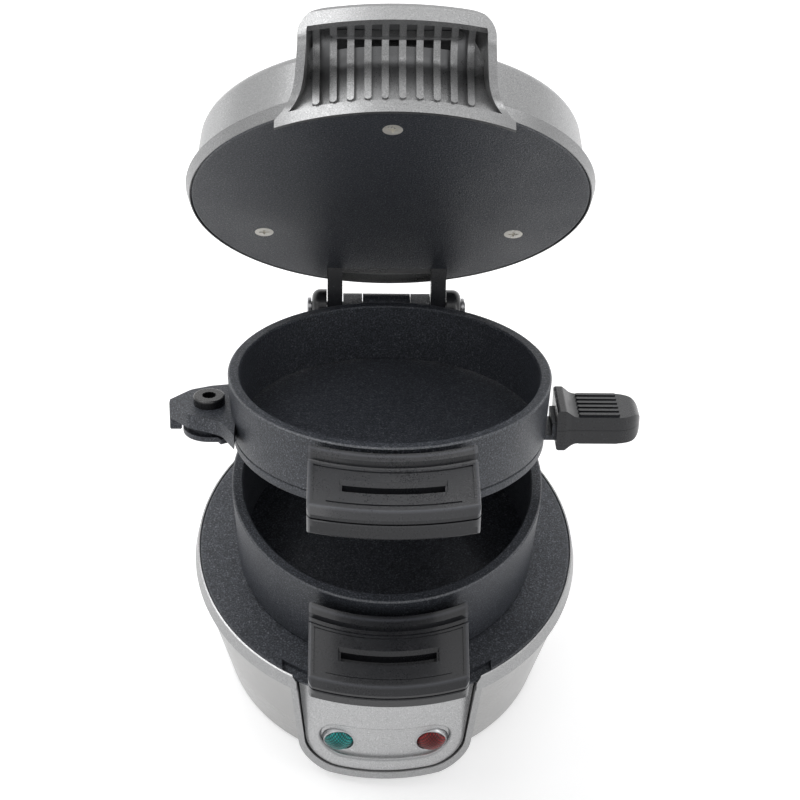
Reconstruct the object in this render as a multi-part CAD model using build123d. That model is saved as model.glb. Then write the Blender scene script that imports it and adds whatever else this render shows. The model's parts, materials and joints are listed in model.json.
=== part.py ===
"""Breakfast sandwich maker: base, two hinged rings, swinging cooking plate and lid.

Every piece is drawn with the appliance closed, standing on the floor at z 0, +Z up and the
front towards -Y, round the upright axis of the base.  The rings and the lid are then opened
about the hinge pin by the angles under "Rest pose", and everything is moved so that the
origin lies under the middle of the opened appliance.
"""

from build123d import *
import os
from math import cos, radians, sin, sqrt, tan

# ---- Clearances ----
seat_gap = 0.3  # between cast parts stacked on each other
side_gap = 0.3  # between neighbouring hinge knuckles, along the pin
trim_gap = 0.15  # between fixed pieces that stand side by side
pin_clearance = 0.05  # radial running fit of the hinge pin and the swing pivot
screw_clearance = 0.1  # radial, screw shank in its hole
reveal = 0.5  # dark line round the front panel

# ---- Rest pose ----
top_ring_angle = 20.25  # top ring and cooking plate opened from closed
lid_angle = 68.8  # lid opened from closed
origin_place = (5.7, 6.8)  # middle of the opened appliance, seen from the base's axis

# ---- Stack of cast parts ----
base_height = 56.0  # floor to the lower heating plate's face
muffin_radius = 51.0  # inside of both rings
rim_radius = 55.0  # outside of both rings at the rim
bottom_ring_height = 35.7
top_ring_height = 20.8
ring_foot_wall = 2.7  # wall of a ring at its lower edge
cooking_plate_radius = 53.4
cooking_plate_thickness = 3.2
heating_plate_radius = 67.9
heating_plate_thickness = 3.4
front_ledge_radius = 64.3  # the lower plate is cut down in front of this
front_ledge_drop = 2.0
front_ledge_side = 2.5  # how far the cut reaches past the panel's top corners

# ---- Base ----
foot_height = 2.5
foot_radius = 6.0
foot_stem = 2.4
front_foot = (34.0, -34.0)
rear_foot = (20.5, 62.0)
wall_foot_radius = 59.7
wall_top_radius = 68.5
wall_thickness = 1.0
wall_foot_z = 1.5
wall_groove = 0.7  # shadow line between the wall and the trim band
flange_width = 3.2
bottom_thickness = 2.0
band_height = 6.4
band_flare = 1.1
band_lip = 0.55
band_wall = 1.6
band_gap_flare = 2.0  # widening of the band's front gap towards its top
band_gap_depth = 2.2  # of that widening
screw_head_height = 1.5
post_screw_length = 14.0  # above the bottom cover
tower_screw_length = 12.0
post_radius = 4.5
post_circle_radius = 48.0
post_angles = (30, 150, 270)
vent_count = 5
vent_width = 3.0
vent_length = 26.0
vent_pitch = 7.0

# ---- Control panel ----
panel_top_half_width = 34.0
panel_foot_half_width = 30.0
panel_foot_z = 4.0
panel_corner_radius = 15.0
panel_face_radius = 69.5
panel_lean = 3.2  # how far the insert leans back at its top
panel_thickness = 2.2
frame_side = 2.4
frame_foot = 4.8
frame_depth = 10.0
recess_length = 48.6
recess_height = 19.6
recess_z = 23.7
recess_round = 1.4  # radius of its rim
recess_depth = 1.6
lens_radius = 5.2
lens_spacing = 33.2
lens_z = 22.4
lens_dome = 3.3
lens_wall = 1.2
lens_flange = 1.6  # collar behind the panel, thickness
lamp_radius = 2.6
lamp_length = 8.0

# ---- Hinge ----
pin_y = 69.5
pin_above_bottom_rim = 15.7
pin_radius = 2.0
pin_head_radius = 3.4
pin_head = 1.4
knuckle_radius = 5.0
ear_radius = 6.5
bottom_knuckle = 17.4  # one wide knuckle in the middle
top_knuckle = 7.0  # a pair outside it
lid_knuckle = 5.5  # the next pair out
ear_width = 5.4
tower_foot_y = 70.5
tower_rear_y = 76.5
tower_top_z = 62.0  # where the rear face turns in towards the ears
tower_saddle_drop = 13.7
tower_screw_x = 9.0
tower_corner = 3.0
pin_slack = 0.35  # pin head and clip stand off the ears by this
pin_clip_thickness = 0.9
gland_z = 22.0
gland_radius = 5.0
gland_bore = 3.3
gland_depth = 13.0
gland_flange = 2.0

# ---- Ring handles, shared by both rings ----
handle_half_width = 27.0
handle_corner = 4.0
handle_inner_corner = 1.2
handle_side_round = 0.8
handle_inner_radius = 57.6
handle_outer_radius = 84.0
handle_slope = 15.0
handle_step = 0.6  # grip face below the inner ridge
handle_cover_height = 10.4
handle_height = 16.5
handle_edge_run = 2.3  # width of the bevel at the grip's front
handle_edge_drop = 9.3
handle_border = 1.9  # plain edge round the sunk grip face
handle_dip = 0.4  # how deep that face is sunk
parting_gap = 0.5
finger_groove_radius = 61.6
finger_groove_width = 2.7
finger_groove_depth = 1.7
handle_slot_radius = 70.6
handle_slot_width = 3.6
handle_slot_half_length = 16.1
handle_slot_depth = 5.0
handle_slot_rim = 1.2
handle_bead_inset = 5.7  # from the outer radius
handle_bead_width = 0.8
handle_bead_half_length = 21.1
top_handle_below_rim = 0.1
bottom_handle_below_rim = 3.6
tang_half_width = 17.0
tang_reach = 76.5
tang_thickness = 2.4
handle_screw_x = 11.0
handle_screw_reach = 66.5
small_shank = 1.4
small_head = 2.8
small_head_height = 1.2

# ---- Pivot lug and cooking plate ----
pivot_x = -61.5
pivot_y = -0.8
lug_top_below_rim = 12.6
lug_thickness = 5.4
lug_half_width = 12.0
pivot_shaft = 2.5
pivot_cap_radius = 5.4
pivot_cap_height = 3.0
pivot_socket_radius = 2.5
pivot_nut_radius = 4.8
pivot_nut_height = 2.0
ear_plate_radius = 9.1
ear_boss_radius = 7.2
arm_rise = 1.4  # undersides of the ear and the grip's arm over the plate's
stop_leg_inner_x = -71.0
stop_leg_outer_x = -75.1
stop_leg_length = 4.8
stop_leg_y = (-1.7, 6.1)
stop_leg_round = 1.2
stop_nub_angle = -62.0
stop_nub_reach = 11.5
flange_x = 57.0
flange_thickness = 3.0
flange_half_width = 9.4
flange_height = 15.0
grip_end_x = 86.0
grip_half_width = 9.0
grip_height = 9.9
grip_rib_count = 6
grip_rib_pitch = 2.9
grip_rib_width = 1.5
grip_rib_height = 0.7
grip_middle = 6.2  # above the cooking plate's underside
plate_screw_x = 70.0
plate_tang_half_width = 5.0
plate_tang_thickness = 2.6
plate_tang_end = 6.5  # metal stops this far inside the grip's end
plate_arm_half_width = 7.0

# ---- Lid ----
lid_height = 24.1  # heating plate's face to the top
lid_wall_radius = 67.3
lid_top_radius = 64.9
lid_shoulder = 4.0
lid_sheet = 0.8
lid_band_height = 4.4
lid_band_flare = 1.3
plate_screw_circle = 50.8
plate_screw_head = 3.3
plate_screw_shank = 1.6
lid_frame_thickness = 2.0
lid_frame_above_plate = 10.8
upper_plate_seat = 0.3  # the upper plate is this much thinner, to clear the shell
bracket_depth = 7.0
bracket_screw_x = 8.0
bracket_sheet = 2.2  # tongue under the lid frame

# ---- Lid handle ----
hood_foot_half_width = 38.2
hood_foot_height = 2.6  # upright end of the foot
hood_half_width = 30.7
hood_sweep = 18.0  # height of the curved sides
hood_side = 2.8
hood_reach = 20.0  # in front of the moulding's wall
hood_wall_gap = 0.7  # moulding's wall outside the lid's
hood_rim_height = 6.4
hood_lip_hang = 3.5
hood_lip_thickness = 1.3
hood_corner = 8.5
hood_mouth_corner = 5.5
hood_roof = 2.4
hood_flange_radius = 54.0
hood_roof_radius = 61.2  # inner edge of the hood's roof on the lid's top
hood_flange_half_width = 25.5
hood_cove = 9.0
boss_radius = 3.2
hood_screw_place = (22.0, -54.5)
grille_rib_count = 10
grille_rib_pitch = 5.4
grille_rib_width = 2.2
grille_rib_height = 2.0
grille_offset = -0.7
grille_bar_length = 41.4
grille_bar_height = 2.6
grille_bar_thickness = 1.3
grille_bar_drop = 1.5  # its middle under the ceiling
grille_pocket = (-2.9, -0.5)  # dark slot behind the bar, from the ceiling

# ---- Heaters ----
element_radius = 36.0
element_tube = 3.2
element_arc = 300
element_air = 0.05  # between an element or its sensors and the plate

# ---- Levels worked out from the stack ----
bottom_ring_foot = base_height + seat_gap
bottom_rim = bottom_ring_foot + bottom_ring_height
cooking_plate_foot = bottom_rim + seat_gap
cooking_plate_top = cooking_plate_foot + cooking_plate_thickness
top_ring_foot = cooking_plate_top + seat_gap
top_rim = top_ring_foot + top_ring_height
lid_face = top_rim + seat_gap
lid_top = lid_face + lid_height
hood_top = lid_top + 0.2
pin_z = bottom_rim + pin_above_bottom_rim
band_foot = base_height - band_height
wall_top = band_foot - wall_groove
cover_foot = foot_height
cover_top = foot_height + bottom_thickness
plate_under = base_height - heating_plate_thickness
upper_plate_top = lid_face + heating_plate_thickness - upper_plate_seat
lid_frame_foot = lid_face + lid_frame_above_plate
lid_frame_top = lid_frame_foot + lid_frame_thickness

# ---- Knuckle positions along the pin, from the middle outwards ----
bottom_knuckle_end = bottom_knuckle / 2
top_knuckle_start = bottom_knuckle_end + side_gap
top_knuckle_end = top_knuckle_start + top_knuckle
lid_knuckle_start = top_knuckle_end + side_gap
lid_knuckle_end = lid_knuckle_start + lid_knuckle
ear_start = lid_knuckle_end + side_gap
ear_end = ear_start + ear_width

HINGE = Axis((0, pin_y, pin_z), (-1, 0, 0))
FRONT = (0, -1, 0)
FAR = 120.0  # longer than any piece, for cutting tools


# ---- Small helpers ----
def block(x, y, z):
    """Box from three (low, high) pairs."""
    middle = [(a + b) / 2 for a, b in (x, y, z)]
    return Pos(*middle) * Box(x[1] - x[0], y[1] - y[0], z[1] - z[0])


def post(x, y, low, high, radius):
    """Upright cylinder."""
    return Pos(x, y, (low + high) / 2) * Cylinder(radius, high - low)


def rod_x(low, high, y, z, radius):
    """Cylinder along X."""
    return Pos((low + high) / 2, y, z) * Rot(0, 90, 0) * Cylinder(radius, high - low)


def rod_y(x, low, high, z, radius):
    """Cylinder along Y."""
    return Pos(x, (low + high) / 2, z) * Rot(90, 0, 0) * Cylinder(radius, high - low)


def at_angle(radius, angle):
    """Point on a circle round the middle, seen from above."""
    return radius * cos(radians(angle)), radius * sin(radians(angle))


def turned(*outline, radii=0):
    """Solid of revolution from a closed outline of (radius, height) points."""
    corners = [(r, 0, z) for r, z in outline]
    if radii:
        return revolve(make_face(FilletPolyline(*corners, radius=radii, close=True)), Axis.Z)
    return revolve(make_face(Polyline(*corners, close=True)), Axis.Z)


def front_prism(face, near, far):
    """Prism along Y from a face drawn in the XZ plane, between two distances in front."""
    return Pos(0, -near, 0) * extrude(face, amount=far - near, dir=FRONT)


def side_prism(points, low, high):
    """Prism along X from a closed outline of (y, z) points."""
    outline = Polyline(*[(low, y, z) for y, z in points], close=True)
    return extrude(make_face(outline), amount=high - low, dir=(1, 0, 0))


def plan_prism(face, low, high):
    """Upright prism from a face drawn in the XY plane."""
    return Pos(0, 0, low) * extrude(face, amount=high - low, dir=(0, 0, 1))


def opened(shape, angle):
    """Shape swung open about the hinge pin."""
    return shape.rotate(HINGE, angle)


def both_sides(shape):
    """A shape and its mirror image across the middle plane."""
    return shape + mirror(shape, about=Plane.YZ)


def cross_recess(x, y, z, radius, depth):
    """Cross-shaped driver recess sunk upwards into a screw head that faces down."""
    bar = Box(2 * radius, radius * 0.45, depth) + Box(radius * 0.45, 2 * radius, depth)
    return Pos(x, y, z + depth / 2) * bar


def screw_up(x, y, head_z, head_height, head_radius, shank_radius, top_z):
    """Pan-head screw driven upwards; head_z is the underside that it bears on."""
    head = post(x, y, head_z - head_height, head_z, head_radius)
    head = fillet(head.edges().group_by(Axis.Z)[0], head_height * 0.45)
    shank = post(x, y, head_z, top_z, shank_radius)
    recess = cross_recess(x, y, head_z - head_height, head_radius * 0.55, head_height * 0.5)
    return head + shank - recess


def small_screw(x, y, head_z, top_z):
    return screw_up(x, y, head_z, small_head_height, small_head, small_shank, top_z)


# ---- Control panel outlines ----
def panel_half_width(z):
    """Half width of the panel frame at a height: its sides lean in towards the foot."""
    share = (z - panel_foot_z) / (base_height - panel_foot_z)
    return panel_foot_half_width * (1 - share) + panel_top_half_width * share


def panel_outline(side, foot, top, corner):
    """Face in the XZ plane, inset from the frame's outline at the sides and foot."""
    low = panel_foot_z + foot
    half_low = panel_half_width(low) - side
    half_high = panel_half_width(top) - side
    corners = [(-half_high, 0, top), (-half_low, 0, low), (half_low, 0, low), (half_high, 0, top)]
    return make_face(FilletPolyline(*corners, radius=[0, corner, corner, 0], close=True))


def panel_face_at(z):
    """Radius of the insert's leaning face at a height."""
    share = (z - panel_foot_z) / (band_foot - panel_foot_z)
    return panel_face_radius - 0.3 - panel_lean * share


def panel_layer(outer_offset, inner_offset):
    """Turned layer between two offsets behind the insert's face."""
    low, high = panel_foot_z, base_height
    return turned(
        (panel_face_at(low) - inner_offset, low),
        (panel_face_at(low) - outer_offset, low),
        (panel_face_at(high) - outer_offset, high),
        (panel_face_at(high) - inner_offset, high),
    )


# ---- Base ----
def make_base_shell():
    wall = turned(
        (wall_foot_radius, wall_foot_z),
        (wall_top_radius, wall_top),
        (wall_top_radius - wall_thickness, wall_top),
        (wall_top_radius - wall_thickness, band_foot - 0.05),
        (wall_top_radius - 2 * wall_thickness, band_foot - 0.05),
        (wall_top_radius - 2 * wall_thickness, wall_top - wall_thickness),
        (wall_top_radius - wall_thickness - 0.2, wall_top - wall_thickness),
        (wall_foot_radius - wall_thickness, wall_foot_z + wall_thickness),
        (wall_foot_radius - flange_width, wall_foot_z + wall_thickness),
        (wall_foot_radius - flange_width, wall_foot_z),
    )
    opening = panel_outline(-trim_gap, -trim_gap, base_height, panel_corner_radius)
    rear = block((-ear_end - trim_gap, ear_end + trim_gap), (40, FAR), (0, base_height))
    return wall - front_prism(opening, 40, FAR) - rear


def make_trim_band():
    """Flared band round the heating plate, running down into the panel's frame."""
    inner = heating_plate_radius + trim_gap
    widest = inner + band_lip + band_flare
    band = turned(
        (inner, base_height),
        (inner + band_lip, base_height - 0.2),
        (widest, band_foot + 0.7),
        (widest - 0.5, band_foot),
        (inner - band_wall, band_foot),
        (inner - band_wall, plate_under - 0.1),
        (inner, plate_under - 0.1),
    )
    rear = block((-ear_end - trim_gap, ear_end + trim_gap), (40, FAR), (0, base_height))
    turn_z = base_height - band_gap_depth
    half = panel_half_width(turn_z) - frame_side
    flare = band_gap_flare
    corners = [
        (-half, 0, band_foot - 2),
        (-half, 0, turn_z),
        (-half - flare, 0, base_height + 0.8),
        (half + flare, 0, base_height + 0.8),
        (half, 0, turn_z),
        (half, 0, band_foot - 2),
    ]
    gap_face = make_face(FilletPolyline(*corners, radius=[0, 3, 0, 0, 3, 0], close=True))
    band = band - rear - front_prism(gap_face, 40, FAR)

    outer = front_prism(panel_outline(0, 0, band_foot + 1.0, panel_corner_radius), 40, FAR)
    inner_corner = panel_corner_radius - frame_side
    opening = panel_outline(frame_side, frame_foot, base_height, inner_corner)
    inside = front_prism(opening, 40, FAR)
    depth = turned(
        (panel_face_radius - frame_depth, panel_foot_z),
        (panel_face_radius - 0.6, panel_foot_z),
        (panel_face_radius, panel_foot_z + 0.6),
        (panel_face_radius, band_foot + 1.0),
        (inner - band_wall, band_foot + 1.0),
        (inner - band_wall - 2, band_foot - 6),
        (panel_face_radius - frame_depth, panel_foot_z + 20),
    )
    return band + ((outer - inside) & depth)


def make_front_panel():
    """Leaning insert with the oblong recess and the two lens holes."""
    side, foot = frame_side + reveal, frame_foot + reveal
    top = plate_under - seat_gap
    outline = panel_outline(side, foot, top, panel_corner_radius - side)
    panel = front_prism(outline, 40, FAR) & panel_layer(0, panel_thickness)
    length, height = recess_length - 2 * recess_round, recess_height - 2 * recess_round
    oval = Plane.XZ * Pos(0, recess_z) * SlotOverall(length, height)
    panel -= front_prism(oval, 40, FAR) & panel_layer(-2, recess_depth)
    panel = fillet(panel.edges().filter_by(is_recess_edge), recess_round)
    for side in (-1, 1):
        panel -= rod_y(side * lens_spacing / 2, -FAR, -40, lens_z, lens_radius + trim_gap)
    return panel


def is_recess_edge(edge):
    """Whether an edge of the panel is where the recess meets its outer face."""
    middle = edge.center()
    inside = abs(middle.Z - recess_z) < recess_height / 2 and abs(middle.X) < recess_length / 2
    at_face = [abs(sqrt(v.X**2 + v.Y**2) - panel_face_at(v.Z)) < 0.01 for v in edge.vertices()]
    return inside and all(at_face)


def lens_front():
    """Distance in front of the middle of a lens's rim, where it meets the recess."""
    face = panel_face_at(lens_z) - recess_depth
    return sqrt(face**2 - (lens_spacing / 2) ** 2)


def make_lens(side):
    x = side * lens_spacing / 2
    rim = lens_front()
    flange_radius = lens_radius + 1.0
    panel_back = panel_face_at(lens_z) - panel_thickness
    back = sqrt(panel_back**2 - (abs(x) + flange_radius) ** 2) - lens_wall
    body = rod_y(x, -rim, -back + lens_flange, lens_z, lens_radius)
    flange = rod_y(x, -back, -back + lens_flange, lens_z, flange_radius)
    ball = (lens_radius**2 + lens_dome**2) / (2 * lens_dome)
    dome = Pos(x, -rim - lens_dome + ball, lens_z) * Sphere(ball)
    dome = dome & rod_y(x, -rim - lens_dome - 1, -rim, lens_z, lens_radius)
    hollow = rod_y(x, -rim + lens_wall, -back + lens_flange + 0.1, lens_z, lens_radius - lens_wall)
    return body + flange + dome - hollow


def make_lamps():
    """Two glow lamps standing in their lenses."""
    back = lens_front() - lens_wall - 0.6
    lamps = []
    for side in (-1, 1):
        x = side * lens_spacing / 2
        bulb = rod_y(x, -back + lamp_radius, -back + lamp_length, lens_z, lamp_radius)
        tip = Pos(x, -back + lamp_radius, lens_z) * Sphere(lamp_radius)
        holder = rod_y(x, -back + lamp_length, -back + lamp_length + 2.5, lens_z, lamp_radius + 1.0)
        lamps.append(bulb + tip + holder)
    return lamps[0] + lamps[1]


def make_lower_plate():
    """Flat cast plate on three posts, cut back for the tower and the front handle."""
    rim = 0.5
    plate = turned(
        (0, plate_under),
        (heating_plate_radius - band_wall - trim_gap, plate_under),
        (heating_plate_radius - rim, plate_under),
        (heating_plate_radius, plate_under + rim),
        (heating_plate_radius, base_height - rim),
        (heating_plate_radius - rim, base_height),
        (0, base_height),
    )
    half = panel_top_half_width + front_ledge_side
    ledge = block((-half, half), (-FAR, 0), (base_height - front_ledge_drop, base_height + 1))
    plate -= ledge - post(0, 0, 0, FAR, front_ledge_radius)
    half = ear_end + seat_gap
    plate -= block((-half, half), (pin_y - ear_radius - 1.2, FAR), (0, FAR))
    for angle in post_angles:
        x, y = at_angle(post_circle_radius, angle)
        plate += post(x, y, cover_top, plate_under, post_radius)
        hole_top = cover_top + post_screw_length + 2
        plate -= post(x, y, cover_top, hole_top, plate_screw_shank + screw_clearance)
    return plate


def make_element(level, direction, terminal_end):
    """Tubular heater lying against a plate, with its ends bent away from it."""
    middle = level + direction * (element_tube + element_air)
    start = 90 + (360 - element_arc) / 2
    circle = Plane.XZ * Pos(element_radius, middle) * Circle(element_tube)
    loop = revolve(circle, Axis.Z, element_arc).rotate(Axis.Z, start)
    for angle in (start, start + element_arc):
        x, y = at_angle(element_radius, angle)
        ends = sorted((middle, terminal_end))
        loop += post(x, y, ends[0], ends[1], element_tube)
        loop += Pos(x, y, middle) * Sphere(element_tube)
        far = sorted((terminal_end, terminal_end + direction * 3.0))
        loop += post(x, y, far[0], far[1], element_tube * 0.4)
    return loop


def make_thermostat():
    """Snap-disc thermostat against the plate, with two blade terminals."""
    level = plate_under - element_air
    body = post(0, 4, level - 7, level, 10.5) + post(0, 4, level - 9.5, level - 7, 6)
    for x in (-3.5, 3.5):
        body += block((x - 1.6, x + 1.6), (3.6, 4.4), (level - 16, level - 9))
    return body


def make_thermal_fuse():
    """Cartridge fuse under the plate, with a lead at each end."""
    radius = 2.2
    level = plate_under - radius - element_air
    return rod_x(-6, 6, -20, level, radius) + both_sides(rod_x(6, 13, -20, level, 0.6))


def post_places():
    """Screws under the base that hold the lower plate."""
    return [at_angle(post_circle_radius, angle) for angle in post_angles]


def tower_screw_places():
    return [(-tower_screw_x, rear_foot[1]), (tower_screw_x, rear_foot[1])]


def make_bottom_cover():
    """Flat cover inside the wall's flange, with a tongue under the hinge tower."""
    radius = wall_foot_radius - wall_thickness - 0.7
    cover = post(0, 0, cover_foot, cover_top, radius)
    cover += block((-ear_end, ear_end), (40, tower_foot_y - 0.5), (cover_foot, cover_top))
    for x, y in post_places() + tower_screw_places():
        cover -= post(x, y, 0, cover_top + 1, plate_screw_shank + screw_clearance)
    for i in range(vent_count):
        x = (i - (vent_count - 1) / 2) * vent_pitch
        slot = Plane.XY * Pos(x, -2) * Rot(0, 0, 90) * SlotOverall(vent_length, vent_width)
        cover -= plan_prism(slot, 0, cover_top + 1)
    for x, y in foot_places():
        cover -= post(x, y, 0, cover_top + 1, foot_stem)
    return cover


def foot_places():
    """Two feet near the front and two under the tower, which carry the opened lid."""
    return [(side * x, y) for x, y in (front_foot, rear_foot) for side in (-1, 1)]


def make_feet():
    feet = []
    for x, y in foot_places():
        pad = post(x, y, 0, foot_height, foot_radius)
        pad = chamfer(pad.edges().group_by(Axis.Z)[0], 0.6)
        feet.append(pad + post(x, y, foot_height, cover_top, foot_stem - 0.05))
    return feet[0] + feet[1] + feet[2] + feet[3]


def cover_screw(place, length):
    """Screw from under the bottom cover, reaching a length above it."""
    top = cover_top + length
    head = plate_screw_head, plate_screw_shank
    return screw_up(*place, cover_foot, screw_head_height, *head, top)


def make_base_screws():
    screws = [cover_screw(place, post_screw_length) for place in post_places()]
    return screws[0] + screws[1] + screws[2]


def make_tower_screws():
    screws = [cover_screw(place, tower_screw_length) for place in tower_screw_places()]
    return screws[0] + screws[1]


def tower_skin(z):
    """Depth of the tower's leaning rear face at a height."""
    share = (z - cover_top) / (tower_top_z - cover_top)
    return tower_foot_y + (tower_rear_y - tower_foot_y) * share


def make_tower():
    """Rear post with two ears for the hinge pin and the cord's inlet at its foot."""
    front, rear = pin_y - ear_radius, pin_y + ear_radius
    step_z = plate_under - 1.0
    inner_front = wall_foot_radius - 1.0
    profile = [
        (inner_front, cover_top),
        (tower_foot_y, cover_top),
        (tower_rear_y, tower_top_z),
        (rear, pin_z),
        (front, pin_z),
        (front, step_z),
        (inner_front, step_z),
    ]
    tower = side_prism(profile, -ear_end, ear_end)
    tower += rod_x(-ear_end, ear_end, pin_y, pin_z, ear_radius)
    tower -= block((-ear_start, ear_start), (0, FAR), (pin_z - tower_saddle_drop, FAR))
    tower -= pin_bore()
    tower -= rod_y(0, 0, FAR, gland_z, gland_radius + trim_gap)
    for x, y in tower_screw_places():
        hole_top = cover_top + tower_screw_length + 1
        tower -= post(x, y, 0, hole_top, plate_screw_shank + screw_clearance)
    corners = tower.edges().filter_by(is_tower_corner)
    return fillet(corners, tower_corner)


def is_tower_corner(edge):
    """Whether an edge is one of the long upright corners at the tower's rear."""
    middle = edge.center()
    at_side = abs(abs(middle.X) - ear_end) < 0.01
    at_rear = middle.Y > tower_foot_y - 1 and middle.Z < pin_z - ear_radius
    return at_side and at_rear and edge.length > 20


def make_gland():
    """Bushing that guides a cord through the tower's wall."""
    low = tower_skin(gland_z) + 1.0
    high = low + gland_flange
    flange = rod_y(0, low, high, gland_z, gland_radius + 1.6)
    collar = rod_y(0, low - gland_depth + gland_flange, high, gland_z, gland_radius)
    return collar + flange - rod_y(0, 0, FAR, gland_z, gland_bore)


def make_pin():
    """Hinge pin with a round head on the left; the clip holds its other end."""
    reach = ear_end + pin_slack
    pin = rod_x(-reach, reach + pin_head, pin_y, pin_z, pin_radius)
    head = rod_x(-reach - pin_head, -reach, pin_y, pin_z, pin_head_radius)
    head = fillet(head.edges().group_by(Axis.X)[0], 0.5)
    return pin + head


def make_pin_clip():
    start = ear_end + pin_slack
    ring = rod_x(start, start + pin_clip_thickness, pin_y, pin_z, pin_head_radius)
    return ring - rod_x(0, FAR, pin_y, pin_z, pin_radius + 0.03)


# ---- Rings ----
def ring_body(foot, rim):
    """Cast ring, thicker at the rim, with broken edges."""
    edge = 0.5
    return turned(
        (muffin_radius, foot),
        (muffin_radius + ring_foot_wall - edge, foot),
        (muffin_radius + ring_foot_wall, foot + edge),
        (rim_radius, rim - edge),
        (rim_radius - edge, rim),
        (muffin_radius + edge, rim),
        (muffin_radius, rim - edge),
    )


def knuckle(low, high):
    return rod_x(low, high, pin_y, pin_z, knuckle_radius)


def pin_bore():
    return rod_x(-FAR, FAR, pin_y, pin_z, pin_radius + pin_clearance)


def handle_screw_holes(top):
    """Tool for the two screw holes of a ring handle, up to a height."""
    radius = small_shank + screw_clearance
    return both_sides(post(handle_screw_x, -handle_screw_reach, 0, top, radius))


def handle_tang(top_z):
    """Cast tongue that the handle's halves close on."""
    low = top_z - handle_height + 1.6
    high = low + tang_thickness
    tang = block((-tang_half_width, tang_half_width), (-tang_reach, -45), (low, high))
    tang -= post(0, 0, low - 1, high + 1, muffin_radius + 1)
    return tang - handle_screw_holes(high + 1)


def make_bottom_ring():
    ring = ring_body(bottom_ring_foot, bottom_rim) + handle_tang(bottom_rim - bottom_handle_below_rim)
    outer = pin_y - rim_radius
    arm = [
        (pin_y - outer - 2.7, bottom_rim - 16),
        (pin_y - outer - 2.7, bottom_rim - 0.5),
        (pin_y - outer + 0.8, bottom_rim - 0.5),
        (pin_y - outer + 1.9, pin_z - 6.5),
        (pin_y - 4.0, pin_z + 3.0),
        (pin_y, pin_z),
        (pin_y - 1.5, pin_z - 4.7),
        (pin_y - 8.5, pin_z - 12),
    ]
    ring += side_prism(arm, -bottom_knuckle_end, bottom_knuckle_end)
    ring += knuckle(-bottom_knuckle_end, bottom_knuckle_end)
    return ring - pin_bore()


def lug_outline():
    """Plan of the pivot lug: a leaf that runs out of the ring to a blunt tip."""
    tip = stop_leg_outer_x
    root = -rim_radius + 3
    shoulder = (pivot_x + tip) / 2
    points = [
        (root, -2 * lug_half_width),
        (root - 4.4, -lug_half_width - 3),
        (pivot_x, -lug_half_width),
        (shoulder, -ear_plate_radius),
        (tip, -1.6),
        (tip, 1.6),
        (shoulder, ear_plate_radius),
        (pivot_x, lug_half_width),
        (root, lug_half_width + 2),
    ]
    return make_face(FilletPolyline(*points, radius=[0, 6, 8, 4, 0.8, 0.8, 6, 8, 0], close=True))


def make_top_ring():
    ring = ring_body(top_ring_foot, top_rim) + handle_tang(top_rim - top_handle_below_rim)
    arm = [
        (pin_y - 18.3, pin_z - 9.5),
        (pin_y - 18.3, pin_z + 5.0),
        (pin_y, pin_z + knuckle_radius),
        (pin_y, pin_z - knuckle_radius),
        (pin_y - 6.0, pin_z - knuckle_radius),
    ]
    arms = side_prism(arm, top_knuckle_start, top_knuckle_end) + knuckle(top_knuckle_start, top_knuckle_end)
    ring += both_sides(arms)

    lug_top = top_rim - lug_top_below_rim
    lug = plan_prism(lug_outline(), lug_top - lug_thickness, lug_top)
    lug -= post(0, 0, 0, FAR, muffin_radius + 1)
    leg_foot = lug_top - lug_thickness - stop_leg_length
    leg = block((stop_leg_outer_x, stop_leg_inner_x), stop_leg_y, (leg_foot, lug_top - 1))
    leg = fillet(leg.edges().group_by(Axis.Z)[0], stop_leg_round)
    leg = leg & plan_prism(lug_outline(), 0, FAR)
    ring += lug + leg
    ring -= post(pivot_x, pivot_y, 0, FAR, pivot_shaft + pin_clearance)
    return ring - pin_bore()


def grip_drop(radius):
    """Height of the grip face under the handle's inner edge at a radius."""
    return (radius - handle_inner_radius) * tan(radians(handle_slope)) + handle_step


def handle_plan():
    """Plan of a ring handle: parallel sides between two arcs, with round corners."""
    sides = Pos(0, -handle_outer_radius) * Rectangle(2 * handle_half_width, 2 * handle_outer_radius)
    plan = (sides & Circle(handle_outer_radius + 0.4)) - Circle(handle_inner_radius)
    front = plan.faces().sort_by(Axis.Y)[0]
    front = fillet(front.vertices().sort_by(Axis.Y)[:2], handle_corner)
    return fillet(front.vertices().sort_by(Axis.Y)[-2:], handle_inner_corner)


def grip_layer(top_z, radii, offsets, half):
    """Layer along the grip face: between two radii, two heights over it and two sides."""
    inner, outer = radii
    low, high = offsets
    at_inner, at_outer = top_z - grip_drop(inner), top_z - grip_drop(outer)
    layer = turned(
        (inner, at_inner + low), (outer, at_outer + low), (outer, at_outer + high), (inner, at_inner + high)
    )
    return layer & block((-half, half), (-FAR, 0), (0, 2 * FAR))


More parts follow.
